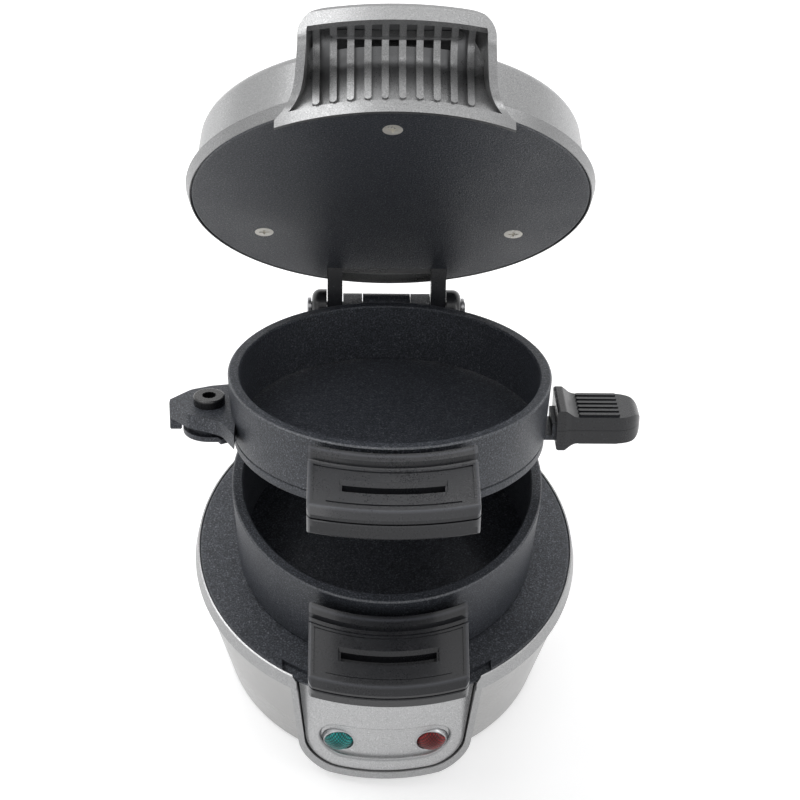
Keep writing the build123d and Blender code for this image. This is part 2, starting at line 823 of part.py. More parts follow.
def make_handle_cover(top_z):
    """Upper half of a ring handle: inner ridge, finger groove and a sunk, sloping grip."""
    slope = tan(radians(handle_slope))
    groove_end = finger_groove_radius + finger_groove_width
    edge_radius = handle_outer_radius - handle_edge_run
    outline = [
        (handle_inner_radius, -handle_cover_height),
        (handle_inner_radius, -0.5),
        (handle_inner_radius + 0.6, 0),
        (finger_groove_radius, -(finger_groove_radius - handle_inner_radius) * slope),
        (finger_groove_radius + 0.5, -grip_drop(finger_groove_radius) - finger_groove_depth * 0.8),
        (groove_end - 1.0, -grip_drop(groove_end) - finger_groove_depth * 0.6),
        (groove_end + 0.2, -grip_drop(groove_end)),
        (edge_radius, -grip_drop(edge_radius)),
        (handle_outer_radius, -handle_edge_drop),
        (handle_outer_radius, -handle_cover_height),
    ]
    cover = turned(*[(r, top_z + z) for r, z in outline])
    cover = cover & plan_prism(handle_plan(), top_z - handle_height, top_z + 1)
    cover = fillet(cover.edges().filter_by(lambda e: is_grip_side(e, top_z)), handle_side_round)

    margin = handle_border / 2
    face = (groove_end + margin, edge_radius - margin)
    cover -= grip_layer(top_z, face, (-handle_dip, 1), handle_half_width - handle_border)
    bead = handle_outer_radius - handle_bead_inset
    bead_radii = (bead, bead + handle_bead_width)
    cover += grip_layer(top_z, bead_radii, (-handle_dip - 0.2, 0), handle_bead_half_length)
    return cover - grip_slot(top_z) - handle_screw_holes(top_z - grip_drop(handle_screw_reach) - 2.0)


def grip_slot(top_z):
    """Tool for the grip's long slot, with a bevelled inner edge and stepped ends."""
    inner, outer = handle_slot_radius, handle_slot_radius + handle_slot_width
    half = handle_slot_half_length
    slot = grip_layer(top_z, (inner, outer), (-handle_slot_depth, 1), half)
    start = inner - handle_slot_rim
    rim = handle_dip + handle_slot_rim * 0.8
    bevel = turned(
        (start, top_z - grip_drop(start) - handle_dip),
        (inner, top_z - grip_drop(inner) - rim),
        (outer, top_z - grip_drop(outer) - rim),
        (outer, top_z + 1),
        (start, top_z + 1),
    )
    reach = half + handle_slot_rim * 0.7
    return slot + (bevel & block((-reach, reach), (-FAR, 0), (0, 2 * FAR)))


def is_grip_side(edge, top_z):
    """Whether an edge runs along a side of a ring handle's upper face."""
    middle = edge.center()
    at_side = abs(abs(middle.X) - handle_half_width) < 0.01
    inside = middle.Y > handle_edge_run - handle_outer_radius
    return at_side and inside and edge.length > 5 and middle.Z > top_z - handle_edge_drop


def make_handle_base(top_z):
    """Lower half of a ring handle, pocketed for the ring's tang."""
    top = -handle_cover_height - parting_gap
    lip = handle_outer_radius + 0.4
    outline = [
        (handle_inner_radius, -handle_height),
        (handle_inner_radius, top),
        (lip - 0.3, top),
        (lip, top - 0.3),
        (lip, top - 2.4),
        (lip - 0.5, top - 2.6),
        (lip - 0.5, -handle_height + 0.8),
        (lip - 1.3, -handle_height),
    ]
    base = turned(*[(r, top_z + z) for r, z in outline])
    base = base & plan_prism(handle_plan(), top_z - handle_height, top_z)
    ledge = turned(
        (handle_inner_radius + 1, top_z + top - 0.01),
        (handle_inner_radius + 1, top_z + top + parting_gap - 0.02),
        (handle_outer_radius - 1.2, top_z + top + parting_gap - 0.02),
        (handle_outer_radius - 1.2, top_z + top - 0.01),
    )
    half = handle_half_width - 1.2
    base += ledge & block((-half, half), (-FAR, 0), (0, FAR))
    low = top_z - handle_height + 1.5
    half = tang_half_width + 0.2
    base -= block((-half, half), (-tang_reach - 0.2, 0), (low, top_z))
    return base - handle_screw_holes(top_z)


def make_handle_screws(top_z):
    tip = top_z - grip_drop(handle_screw_reach) - 2.6
    return both_sides(
        small_screw(handle_screw_x, -handle_screw_reach, top_z - handle_height, tip)
    )


# ---- Swing pivot and cooking plate ----
def make_pivot_screw():
    """Capped shoulder screw through the lug and the plate's ear."""
    seat = top_rim - lug_top_below_rim
    cap = post(pivot_x, pivot_y, seat, seat + pivot_cap_height, pivot_cap_radius)
    cap = fillet(cap.edges().group_by(Axis.Z)[-1], 0.6)
    shaft = post(pivot_x, pivot_y, pivot_nut_levels()[0] - 0.2, seat, pivot_shaft)
    hexagon = RegularPolygon(pivot_socket_radius, 6)
    socket = hexagon + Rot(0, 0, 30) * hexagon
    recess = Pos(pivot_x, pivot_y, 0) * plan_prism(socket, seat + 0.8, seat + 5)
    return cap + shaft - recess


def pivot_nut_levels():
    """Underside and top of the nut, just under the plate's ear."""
    top = cooking_plate_foot + arm_rise - seat_gap
    return top - pivot_nut_height, top


def make_pivot_nut():
    nut = Pos(pivot_x, pivot_y, 0) * plan_prism(RegularPolygon(pivot_nut_radius, 6), *pivot_nut_levels())
    return nut - post(pivot_x, pivot_y, 0, FAR, pivot_shaft + 0.03)


def make_cooking_plate():
    """Egg floor with its ear on the pivot and a tang for the grip opposite."""
    low, high = cooking_plate_foot, cooking_plate_top
    edge = 0.4
    disc = turned(
        (0, low), (cooking_plate_radius - edge, low), (cooking_plate_radius, low + edge),
        (cooking_plate_radius, high - edge), (cooking_plate_radius - edge, high), (0, high),
    )
    arm_low = low + arm_rise
    ear = (pivot_y - ear_plate_radius, pivot_y + ear_plate_radius)
    plate = disc + block((pivot_x, -45), ear, (arm_low, high))
    plate += post(pivot_x, pivot_y, arm_low, high, ear_plate_radius)
    lug_under = top_rim - lug_top_below_rim - lug_thickness
    plate += post(pivot_x, pivot_y, high, lug_under - seat_gap, ear_boss_radius)
    nub = block((0, stop_nub_reach), (-1.3, 1.3), (arm_low, high))
    plate += Pos(pivot_x, pivot_y, 0) * nub.rotate(Axis.Z, stop_nub_angle)

    tang_low, tang_high = plate_tang_levels()
    half = plate_arm_half_width
    plate += block((45, riser_end()), (-half, half), (arm_low, high))
    plate += block((rim_radius + 0.7, riser_end()), (-half, half), (arm_low, tang_high))
    half = plate_tang_half_width
    plate += block((rim_radius + 0.7, plate_tang_reach()), (-half, half), (tang_low, tang_high))
    plate -= post(plate_screw_x, 0, 0, FAR, small_shank + screw_clearance)
    return plate - post(pivot_x, pivot_y, 0, FAR, pivot_shaft + pin_clearance)


def plate_tang_levels():
    middle = cooking_plate_foot + 6.0
    return middle - plate_tang_thickness / 2, middle + plate_tang_thickness / 2


def plate_tang_reach():
    return grip_end_x - plate_tang_end


def riser_end():
    """Outer face of the arm's upright, which stands in a pocket of the grip's flange."""
    return flange_x + 1.0


def grip_solid():
    """Whole grip before it is split: a flared flange running into a rounded bar."""
    middle = cooking_plate_foot + grip_middle
    low, high = middle - grip_height / 2, middle + grip_height / 2
    flange_low, flange_high = middle - flange_height / 2, middle + flange_height / 2
    neck = flange_x + flange_thickness
    cove = 3.2
    side = [
        (flange_x, 0, flange_low), (neck, 0, flange_low), (neck + cove, 0, low), (grip_end_x, 0, low),
        (grip_end_x, 0, high), (neck + cove, 0, high), (neck, 0, flange_high), (flange_x, 0, flange_high),
    ]
    radii = [1.0, 1.2, 4.5, 3.2, 3.2, 4.5, 1.2, 1.0]
    side_face = make_face(FilletPolyline(*side, radius=radii, close=True))
    bar = Pos(0, FAR / 2, 0) * extrude(side_face, amount=FAR, dir=FRONT)
    wide, narrow = flange_half_width, grip_half_width
    end = grip_end_x + 0.3
    plan = [
        (flange_x - 1, -wide), (neck, -wide), (neck + 1.8, -narrow), (end, -narrow),
        (end, narrow), (neck + 1.8, narrow), (neck, wide), (flange_x - 1, wide),
    ]
    radii = [0, 0.8, 2.0, 8.6, 8.6, 2.0, 0.8, 0]
    plan_face = make_face(FilletPolyline(*plan, radius=radii, close=True))
    return bar & plan_prism(plan_face, 0, FAR)


def make_plate_handle():
    """Upper and lower half of the grip, ribbed above and below."""
    grip = grip_solid()
    middle = cooking_plate_foot + grip_middle
    low, top = middle - grip_height / 2, middle + grip_height / 2
    near, far = flange_x + 7.5, grip_end_x - 7.5
    for i in range(grip_rib_count):
        y = (i - (grip_rib_count - 1) / 2) * grip_rib_pitch
        rib = Pos((near + far) / 2, y) * SlotOverall(far - near, grip_rib_width)
        grip += plan_prism(rib, low - grip_rib_height, top + grip_rib_height)
    tang_low, tang_high = plate_tang_levels()
    half = plate_tang_half_width + 0.15
    grip -= block((0, plate_tang_reach() + 0.2), (-half, half), (tang_low - 0.15, tang_high + 0.15))
    half = plate_arm_half_width + 0.15
    arm_low = cooking_plate_foot + arm_rise
    grip -= block((0, riser_end() + 0.15), (-half, half), (arm_low - 0.15, tang_high + 0.15))
    grip -= post(plate_screw_x, 0, 0, top - 1.5, small_shank + screw_clearance)
    upper = grip & block((0, FAR), (-FAR, FAR), (middle, FAR))
    lower = grip & block((0, FAR), (-FAR, FAR), (0, middle - 0.1))
    screw = small_screw(plate_screw_x, 0, low - grip_rib_height, top - 2.0)
    return upper, lower, screw


# ---- Lid ----
def hood_arch(inset, top, foot, foot_half, corner):
    """Face in the XZ plane: straight sides that sweep out towards the lid's rim."""
    half = hood_half_width - inset
    sweep_top = min(foot + hood_sweep, top - corner - 0.5)
    angle = 52.0
    start = foot + hood_foot_height
    right = [
        Line((foot_half, 0, foot), (foot_half, 0, start)),
        Spline(
            (foot_half, 0, start),
            (half, 0, sweep_top),
            tangents=[(-sin(radians(angle)), 0, cos(radians(angle))), (0, 0, 1)],
        ),
        Line((half, 0, sweep_top), (half, 0, top - corner)),
        ThreePointArc(
            (half, 0, top - corner),
            (half - corner * (1 - sqrt(0.5)), 0, top - corner * (1 - sqrt(0.5))),
            (half - corner, 0, top),
        ),
    ]
    left = [mirror(edge, about=Plane.YZ) for edge in right]
    roof = Line((half - corner, 0, top), (corner - half, 0, top))
    sill = Line((-foot_half, 0, foot), (foot_half, 0, foot))
    return make_face(right + left + [roof, sill])


def hood_envelope(gap, inner):
    """Space that the hood takes up outside a radius of the lid, grown by a gap."""
    foot_half = hood_foot_half_width + gap
    arch = hood_arch(-gap, hood_top + gap, lid_face - hood_lip_hang, foot_half, hood_corner)
    keep = turned((inner - gap, 0), (FAR, 0), (FAR, 2 * FAR), (inner - gap, 2 * FAR))
    return front_prism(arch, 0, FAR) & keep


def hood_seat_radius():
    """Inner radius of the hood's moulding, just outside the lid frame."""
    return lid_wall_radius - 1.8


def make_hood():
    """Handle moulding: hood, ribbed cove, crossbar, rim lip and fixing flange."""
    lip_low = lid_face - hood_lip_hang
    top = hood_top
    seat = hood_seat_radius()
    roof = hood_roof_radius
    rim_z = top - hood_rim_height
    wall = lid_wall_radius + hood_wall_gap
    reach = wall + hood_reach
    lip = wall + hood_lip_thickness

    profile = make_face(
        [
            Polyline((roof, 0, top), (roof, 0, top - hood_roof), (seat, 0, top - hood_roof)),
            Polyline((seat, 0, top - hood_roof), (seat, 0, lid_face + 0.1), (wall, 0, lid_face + 0.1)),
            Polyline((wall, 0, lid_face + 0.1), (wall, 0, lip_low), (lip, 0, lip_low)),
            Line((lip, 0, lip_low), (lip + 0.2, 0, lip_low + 3)),
            Spline((lip + 0.2, 0, lip_low + 3), (reach, 0, rim_z), tangents=[(0, 0, 1), (0, 0, 1)]),
            Polyline((reach, 0, rim_z), (reach, 0, top - 1.6), (reach - 1.2, 0, top), (roof, 0, top)),
        ]
    )
    face = hood_arch(0, top, lip_low, hood_foot_half_width, hood_corner)
    hood = front_prism(face, 0, FAR) & revolve(profile, Axis.Z)

    cove = hood_cove
    ceiling = top - hood_roof
    cavity_foot = lid_face + 0.6
    inner_reach = reach - hood_side
    scoop = [
        Polyline((wall, 0, ceiling - cove), (wall + 0.5, 0, cavity_foot), (FAR, 0, cavity_foot)),
        Polyline((FAR, 0, cavity_foot), (FAR, 0, rim_z), (inner_reach, 0, rim_z)),
        Polyline((inner_reach, 0, rim_z), (inner_reach, 0, ceiling), (wall + cove, 0, ceiling)),
        cove_arc(wall, ceiling, cove),
    ]
    scoop_body = revolve(make_face(scoop), Axis.Z)
    foot_half = hood_foot_half_width - hood_side
    outer_opening = hood_arch(hood_side, rim_z, lip_low, foot_half, hood_mouth_corner)
    inner_opening = hood_arch(hood_side, ceiling, lip_low, foot_half, hood_mouth_corner)
    low_part = block((-FAR, FAR), (-FAR, 0), (0, rim_z))
    mouth = front_prism(outer_opening, 0, FAR) & scoop_body & low_part
    inside = front_prism(inner_opening, 0, inner_reach) & scoop_body
    hood -= mouth + inside

    half = grille_rib_pitch * (grille_rib_count - 3) / 2
    pocket = tuple(ceiling + level for level in grille_pocket)
    hood -= block((grille_offset - half, grille_offset + half), (-wall - cove, 1 - wall), pocket)
    hood += grille_ribs(wall, ceiling, cavity_foot, reach - 4)
    near = wall + cove * 0.75 - grille_bar_thickness / 2
    bar = Plane.XZ * Pos(0, ceiling - grille_bar_drop) * SlotOverall(grille_bar_length, grille_bar_height)
    hood += front_prism(bar, near, near + grille_bar_thickness)

    under_lid = lid_top - lid_sheet - 0.1
    flange = turned(
        (hood_flange_radius, ceiling - 1.0), (seat + 0.5, ceiling - 1.0), (seat + 0.5, ceiling + 0.5),
        (roof + 0.5, ceiling + 0.5), (roof - 0.5, under_lid), (hood_flange_radius, under_lid),
    )
    half = hood_flange_half_width
    hood += flange & block((-half, half), (-FAR, 0), (0, 2 * FAR))
    boss = post(*hood_screw_place, lid_frame_top + 0.1, ceiling - 0.5, boss_radius)
    boss -= post(*hood_screw_place, 0, ceiling - 2.5, small_shank + screw_clearance)
    return hood + both_sides(boss)


def cove_arc(wall, ceiling, radius):
    """Quarter arc between a wall and a ceiling, drawn from the ceiling down."""
    share = radius * (1 - sqrt(0.5))
    middle = (wall + share, 0, ceiling - share)
    return ThreePointArc((wall + radius, 0, ceiling), middle, (wall, 0, ceiling - radius))


def grille_ribs(wall, ceiling, low, reach):
    """Ribs that climb the cove and run out along its ceiling, round at the lower end."""
    bend = ceiling - hood_cove
    face = wall + grille_rib_height
    under = ceiling - grille_rib_height
    inner, upper = wall - 0.5, ceiling + 0.5
    outline = [
        Polyline((inner, 0, bend), (inner, 0, low), (face + 0.4, 0, low), (face, 0, bend)),
        cove_arc(face, under, under - bend),
        Polyline((face + under - bend, 0, under), (reach, 0, under), (reach, 0, upper)),
        Polyline((reach, 0, upper), (inner + upper - bend, 0, upper)),
        cove_arc(inner, upper, upper - bend),
    ]
    layer = revolve(make_face(outline), Axis.Z)
    high = ceiling + 4
    slot = Rot(0, 0, 90) * SlotOverall(high - low, grille_rib_width)
    ribs = []
    for i in range(grille_rib_count):
        x = (i - (grille_rib_count - 1) / 2) * grille_rib_pitch + grille_offset
        strip = Plane.XZ * Pos(x, (low + high) / 2) * slot
        ribs.append(front_prism(strip, 40, FAR) & layer)
    return ribs


def lid_outline(inset, foot):
    """Closed outline of the lid's shell, inset by a wall."""
    top = lid_top - inset
    return turned(
        (0, foot), (lid_wall_radius - inset, foot), (lid_top_radius - inset, top), (0, top),
        radii=[0, 0, lid_shoulder - inset, 0],
    )


def bracket_front():
    """Front of the hinge bracket, set so that it stays inside the lid's wall."""
    return bracket_rear() - bracket_depth


def bracket_rear():
    wall = lid_wall_radius - lid_sheet
    return sqrt(wall**2 - lid_knuckle_end**2) - 2 * seat_gap


def bracket_top():
    return lid_frame_foot - 0.1


def make_lid_shell():
    foot = lid_face + heating_plate_thickness - 0.2
    shell = lid_outline(0, foot) - lid_outline(lid_sheet, foot - 1)
    return shell - hood_envelope(trim_gap, hood_roof_radius)


def make_lid_band():
    inner = heating_plate_radius + 0.35
    widest = inner + lid_band_flare + 0.35
    foot = lid_face
    high = foot + lid_band_height
    seat = lid_wall_radius + trim_gap
    band = turned(
        (inner, foot + 0.1),
        (inner + 0.35, foot),
        (widest, high - 0.7),
        (widest - 0.5, high - 0.1),
        (seat + 0.1, high + 0.1),
        (seat + 0.1, foot + heating_plate_thickness),
        (inner, foot + heating_plate_thickness),
    )
    return band - hood_envelope(trim_gap, hood_seat_radius())


def plate_screw_places():
    return [at_angle(plate_screw_circle, angle) for angle in (30, 150, 269.3)]


def make_upper_plate():
    """Flat cast plate, countersunk for its screws."""
    rim = 0.4
    top = upper_plate_top
    plate = turned(
        (0, lid_face),
        (heating_plate_radius - rim, lid_face),
        (heating_plate_radius, lid_face + rim),
        (heating_plate_radius, top),
        (0, top),
    )
    seat = hood_seat_radius() - trim_gap
    keep = hood_foot_half_width + trim_gap
    front = block((-keep, keep), (-FAR, -40), (0, 2 * FAR)) - post(0, 0, 0, 2 * FAR, seat)
    half = lid_knuckle_end + trim_gap
    rear = block((-half, half), (bracket_front() - trim_gap, FAR), (0, 2 * FAR))
    plate = plate - front - rear
    for x, y in plate_screw_places():
        plate -= post(x, y, 0, 2 * FAR, plate_screw_shank + screw_clearance)
        plate -= Pos(x, y, lid_face + 0.85) * Cone(plate_screw_head + 0.15, plate_screw_shank, 1.72)
    return plate


def make_upper_plate_screws():
    """Countersunk cross-head screws from the plate's face into the lid frame."""
    screws = []
    tip = lid_frame_top + 2
    for x, y in plate_screw_places():
        head = Pos(x, y, lid_face + 0.8) * Cone(plate_screw_head, plate_screw_shank, 1.6)
        shank = post(x, y, lid_face + 1.5, tip, plate_screw_shank)
        screws.append(head + shank - cross_recess(x, y, lid_face - 0.01, 1.7, 0.8))
    return screws[0] + screws[1] + screws[2]


def make_lid_frame():
    """Pressed frame inside the lid that the plate, bracket and hood are screwed to."""
    low, high = lid_frame_foot, lid_frame_top
    radius = hood_seat_radius() - 0.25
    opening = element_radius + element_tube + 2
    frame = post(0, 0, low, high, radius) - post(0, 0, 0, 2 * FAR, opening)
    for x, y in plate_screw_places():
        frame += post(x, y, upper_plate_top, low, post_radius - 0.3)
        frame -= post(x, y, 0, 2 * FAR, plate_screw_shank + screw_clearance)
    for x, y in bracket_screw_places():
        frame += post(x, y, high, high + 4, boss_radius)
        frame -= post(x, y, 0, high + 3.5, small_shank + screw_clearance)
    for side in (-1, 1):
        x, y = hood_screw_place
        frame -= post(side * x, y, 0, 2 * FAR, small_shank + screw_clearance)
    return frame


def bracket_screw_places():
    y = bracket_front() - small_head - 1
    return [(-bracket_screw_x, y), (bracket_screw_x, y)]


def make_lid_hinge():
    """Bracket with two knuckles, bent forward under the lid frame."""
    top = bracket_top()
    front, rear = bracket_front(), bracket_rear()
    low = lid_face + 1.2
    arm = [
        (pin_y - 3.6, pin_z - 3.4),
        (front, low),
        (rear, low + 0.5),
        (pin_y + 1.8, pin_z + 4.6),
    ]
    arms = side_prism(arm, lid_knuckle_start, lid_knuckle_end) + knuckle(lid_knuckle_start, lid_knuckle_end)
    bracket = block((-lid_knuckle_end, lid_knuckle_end), (front, rear), (low, low + 3.5))
    bracket += block((-lid_knuckle_end, lid_knuckle_end), (front, front + 3), (low, top))
    tongue = bracket_screw_x + 2 * small_head
    near = front - 2 * small_head - 3
    bracket += block((-tongue, tongue), (near, front + 1), (top - bracket_sheet, top))
    bracket += both_sides(arms)
    for x, y in bracket_screw_places():
        bracket -= post(x, y, 0, 2 * FAR, small_shank + screw_clearance)
    return bracket - pin_bore()


def make_lid_hinge_screws():
    under = bracket_top() - bracket_sheet
    screws = [small_screw(x, y, under, lid_frame_top + 3) for x, y in bracket_screw_places()]
    return screws[0] + screws[1]


def make_hood_screws():
    ceiling = hood_top - hood_roof
    return both_sides(small_screw(*hood_screw_place, lid_frame_foot, ceiling - 3))


# ---- Assembly ----
def build():
    """Every node, each in the rest pose."""
    base = {
        "base_shell": make_base_shell(),
        "trim_band": make_trim_band(),
        "front_panel": make_front_panel(),
        "preheat_lens": make_lens(-1),
        "power_lens": make_lens(1),
        "indicator_lamps": make_lamps(),
        "lower_heating_plate": make_lower_plate(),
        "lower_heating_element": make_element(plate_under, -1, plate_under - 18),
        "thermostat": make_thermostat(),
        "thermal_fuse": make_thermal_fuse(),
        "bottom_cover": make_bottom_cover(),
        "rubber_feet": make_feet(),
        "base_screws": make_base_screws(),
        "hinge_tower": make_tower(),
        "tower_screws": make_tower_screws(),
        "hinge_pin": make_pin(),
        "pin_clip": make_pin_clip(),
        "cord_gland": make_gland(),
    }
    bottom_handle = bottom_rim - bottom_handle_below_rim
    bottom = {
        "bottom_ring": make_bottom_ring(),
        "bottom_handle_cover": make_handle_cover(bottom_handle),
        "bottom_handle_base": make_handle_base(bottom_handle),
        "bottom_handle_screws": make_handle_screws(bottom_handle),
    }
    top_handle = top_rim - top_handle_below_rim
    upper, lower, screw = make_plate_handle()
    middle = {
        "top_ring": make_top_ring(),
        "top_handle_cover": make_handle_cover(top_handle),
        "top_handle_base": make_handle_base(top_handle),
        "top_handle_screws": make_handle_screws(top_handle),
        "pivot_screw": make_pivot_screw(),
        "pivot_nut": make_pivot_nut(),
        "cooking_plate": make_cooking_plate(),
        "plate_handle_upper": upper,
        "plate_handle_lower": lower,
        "plate_handle_screw": screw,
    }
    lid = {
        "lid_shell": make_lid_shell(),
        "lid_band": make_lid_band(),
        "lid_handle": make_hood(),
        "lid_handle_screws": make_hood_screws(),
        "upper_heating_plate": make_upper_plate(),
        "upper_plate_screws": make_upper_plate_screws(),
        "upper_heating_element": make_element(upper_plate_top, 1, upper_plate_top + 8),
        "lid_frame": make_lid_frame(),
        "lid_hinge": make_lid_hinge(),
        "lid_hinge_screws": make_lid_hinge_screws(),
    }
    nodes = base | bottom
    nodes |= {name: opened(shape, top_ring_angle) for name, shape in middle.items()}
    nodes |= {name: opened(shape, lid_angle) for name, shape in lid.items()}
    return nodes


os.makedirs("parts", exist_ok=True)
for node, shape in build().items():
    placed = Pos(-origin_place[0], -origin_place[1], 0) * shape
    export_step(placed, f"parts/{node}.step")
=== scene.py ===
"""Looks of the breakfast sandwich maker: materials, lens collars, light, floor and camera."""

import json
from math import cos, pi, radians, sin, sqrt

import bmesh
import bpy
from mathutils import Matrix, Vector


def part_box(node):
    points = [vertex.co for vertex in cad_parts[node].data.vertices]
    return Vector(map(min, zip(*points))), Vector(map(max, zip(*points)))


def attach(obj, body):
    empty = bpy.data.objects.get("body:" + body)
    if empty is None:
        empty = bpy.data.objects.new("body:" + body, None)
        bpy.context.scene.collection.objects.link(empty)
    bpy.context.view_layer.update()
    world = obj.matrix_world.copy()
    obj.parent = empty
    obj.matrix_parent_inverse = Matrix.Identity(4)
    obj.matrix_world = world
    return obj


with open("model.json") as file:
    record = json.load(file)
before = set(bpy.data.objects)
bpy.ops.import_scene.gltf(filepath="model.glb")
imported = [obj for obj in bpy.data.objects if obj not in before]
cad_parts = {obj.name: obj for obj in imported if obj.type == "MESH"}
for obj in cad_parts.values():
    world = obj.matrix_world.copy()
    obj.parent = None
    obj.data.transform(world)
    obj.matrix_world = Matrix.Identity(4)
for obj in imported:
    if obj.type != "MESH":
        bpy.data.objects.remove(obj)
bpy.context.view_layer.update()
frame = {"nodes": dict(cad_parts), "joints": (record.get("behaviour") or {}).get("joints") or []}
nodes = frame["nodes"]
joints = {joint["name"]: joint for joint in frame["joints"]}
MM = 1000.0  # millimetres in a metre


def corners(node):
    """Lowest and highest corner of a node, in millimetres."""
    low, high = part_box(node)
    return low * MM, high * MM


def half_width(node):
    low, high = corners(node)
    return (high.x - low.x) / 2


def opened(joint):
    """Angle by which a joint is packed open: its travel back to shut."""
    return -radians(joints[joint]["range_deg"][0])


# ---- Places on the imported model, in millimetres ----
HINGE = Vector(joints["lid_hinge"]["pos_m"]) * MM
PLATE_LOW, PLATE_HIGH = corners("lower_heating_plate")
PLATE_RADIUS = half_width("lower_heating_plate")
ORIGIN = Vector((HINGE.x, PLATE_LOW.y + PLATE_RADIUS, 0))  # the base's upright axis

# ---- Places on the closed model, in millimetres from ORIGIN ----
# The front is at negative y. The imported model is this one, opened about the hinge by the
# angles below. A pair in brackets says where a shade starts and where it ends, unless its
# comment says something else.
SHUT = 0.0
TOP_RING_ANGLE = opened("top_ring_hinge")
LID_ANGLE = TOP_RING_ANGLE + opened("lid_hinge")

# Painted highlights along the edges of the cast pieces: radius and height.
LOWER_PLATE_EDGE = (PLATE_RADIUS - 0.3, PLATE_HIGH.z)
BOTTOM_RING_EDGE = (54.8, 92.0)
TOP_RING_EDGE = (54.8, 116.6)
UPPER_PLATE_EDGE = (PLATE_RADIUS - 0.2, 116.9)
HIGHLIGHT_HALF = 0.8  # half the width of a painted highlight along an edge

# Painted highlights along the tabs' edges: x of the sides, and radius and half width of two
# creases.
TAB_SIDE = half_width("bottom_handle_cover") - 0.5
TAB_CREASES = ((81.7, 0.7), (59.4, 0.8))

# Ribbed cove of the lid's handle, with painted shade between its ribs.
RIB_PITCH = 5.4
RIB_OFFSET = -0.7  # x of the middle of the row
RIB_SIDE = (0.19, 0.235)  # in pitches from the middle of a rib
ROW_END = (4.7 * RIB_PITCH, 4.95 * RIB_PITCH)  # from the middle of the row
COVE_CEILING = 138.8
COVE_TOP = (COVE_CEILING + 0.3, COVE_CEILING + 0.5)
COVE_FOOT = (116.5, 128.5)
COVE_REACH = (84.0, 85.5)  # radius
BAR_Y = -74.75
BAR_HALF = (0.8, 0.9)  # from the middle of the crossbar
BAR_TOP = (COVE_CEILING - 0.3, COVE_CEILING - 0.2)

# Oblong recess in the front panel, with painted shade along its wall, and the lenses in it.
RECESS_Z = 23.7
RECESS_ROUND = 9.8  # half its height
RECESS_RUN = 14.5  # half the straight part of its length
RECESS_WALL = (-0.85, 0.75)  # past its outline, and half width
RECESS_FLOOR = 66.31  # radius at the height of the lenses
PANEL_LEAN = 3.2 / 45.6  # inwards for each millimetre up
PANEL_BACK = (-50.0, -49.0)  # y, behind the panel's face
LENS_RADIUS = 5.2
LENS_DOME = 3.3
FACET_PITCH = 1.15

# Section of the collar round a lens: past the lens's radius, share of the way up from the
# recess's floor to the lens's rim, and height above that.
COLLAR_PROFILE = (
    (0.75, 0.0, -0.15),
    (0.75, 0.0, 0.1),
    (0.62, 0.1, 0.3),
    (0.38, 0.5, 0.4),
    (0.16, 0.9, 0.38),
    (0.0, 1.0, 0.3),
    (-0.1, 1.0, 0.12),
    (-0.1, 1.0, -0.15),
)
COLLAR_STEPS = 96

# ---- Looks ----
NOISE_SPAN = (0.3, 0.7)  # nearly all values of a noise lie between these
COATING_DARK = (0.017, 0.019, 0.0235)
COATING = (0.041, 0.045, 0.054)
COATING_FLAKE = (0.17, 0.177, 0.19)
# Pale colour of the painted highlight along the rims of the cast pieces.
COATING_PAINTED_HIGHLIGHT = (0.16, 0.165, 0.175)
SILVER_TINT = (1.0, 1.004, 1.012)
# Colour of painted shade on silver paint, for a tone of 1.
SILVER_PAINTED_SHADE = (0.48, 0.4848, 0.4944)
SILVER_LEVELS = ((0.30, 0.80), (0.5, 1.0), (0.66, 1.12), (0.76, 1.45))  # noise, brightness
STEEL_DARK = (0.325, 0.322, 0.319)
STEEL_PALE = (0.375, 0.372, 0.370)
PLASTIC = (0.018, 0.0187, 0.0215)
PLASTIC_ROUGH = 0.3
PLASTIC_GLOSS = 0.25

# ---- Studio, in metres ----
WORLD_LEVEL = 0.30
FLOOR_HALF = 3.0
FLOOR_DROP = 0.0002
FLOOR_COLOUR = (0.8, 0.8, 0.8, 1)
FLOOR_NEAR_AND_FAR = (0.3, 1.2)
FLOOR_GLOW = (0.5, 0.76)  # near and far
CAMERA_PLACE = (-0.02204, -0.47599, 0.65277)
CAMERA_YAW = radians(2.42)
CAMERA_PITCH = radians(47.896)
CAMERA_ROLL = radians(2.16)
CAMERA_LENS = 92.73
# Name, place, target, width and height, and watts.
LAMPS = (
    ("key", (-0.75, 0.2, 1.2), (0, 0, 0.1), (0.9, 0.9), 6.5),
    ("top", (0.3, 0.2, 1.5), (0, 0, 0.1), (1.9, 1.9), 6),
    ("strip", (0.0, 0.75, 1.15), (0, 0, 0.1), (1.2, 0.14), 5),
    ("left", (-0.85, -0.95, 0.65), (0, 0, 0.18), (0.7, 0.8), 1.2),
    ("right", (1.1, -0.5, 0.7), (0, 0, 0.12), (0.4, 0.8), 2.5),
)


def scaled(colour, factor):
    return [channel * factor for channel in colour]


# ---- Shader building blocks ----
def new_material(name):
    mat = bpy.data.materials.new(name)
    mat.use_nodes = True
    tree = mat.node_tree
    shader = next(n for n in tree.nodes if n.type == "BSDF_PRINCIPLED")
    return mat, tree, shader


def link(tree, value, socket):
    """Feeds a socket from another node's output or sets it to a number."""
    if isinstance(value, bpy.types.NodeSocket):
        tree.links.new(value, socket)
    else:
        socket.default_value = value


def place(tree, angle):
    """Millimetres in the closed model's own axes, for a piece opened by an angle."""
    coord = tree.nodes.new("ShaderNodeTexCoord")
    mapping = tree.nodes.new("ShaderNodeMapping")
    turn = Matrix.Rotation(angle, 3, "X")
    mapping.inputs["Scale"].default_value = (MM, MM, MM)
    mapping.inputs["Rotation"].default_value = (angle, 0, 0)
    mapping.inputs["Location"].default_value = HINGE - ORIGIN - turn @ HINGE
    tree.links.new(coord.outputs["Object"], mapping.inputs["Vector"])
    return mapping.outputs["Vector"]


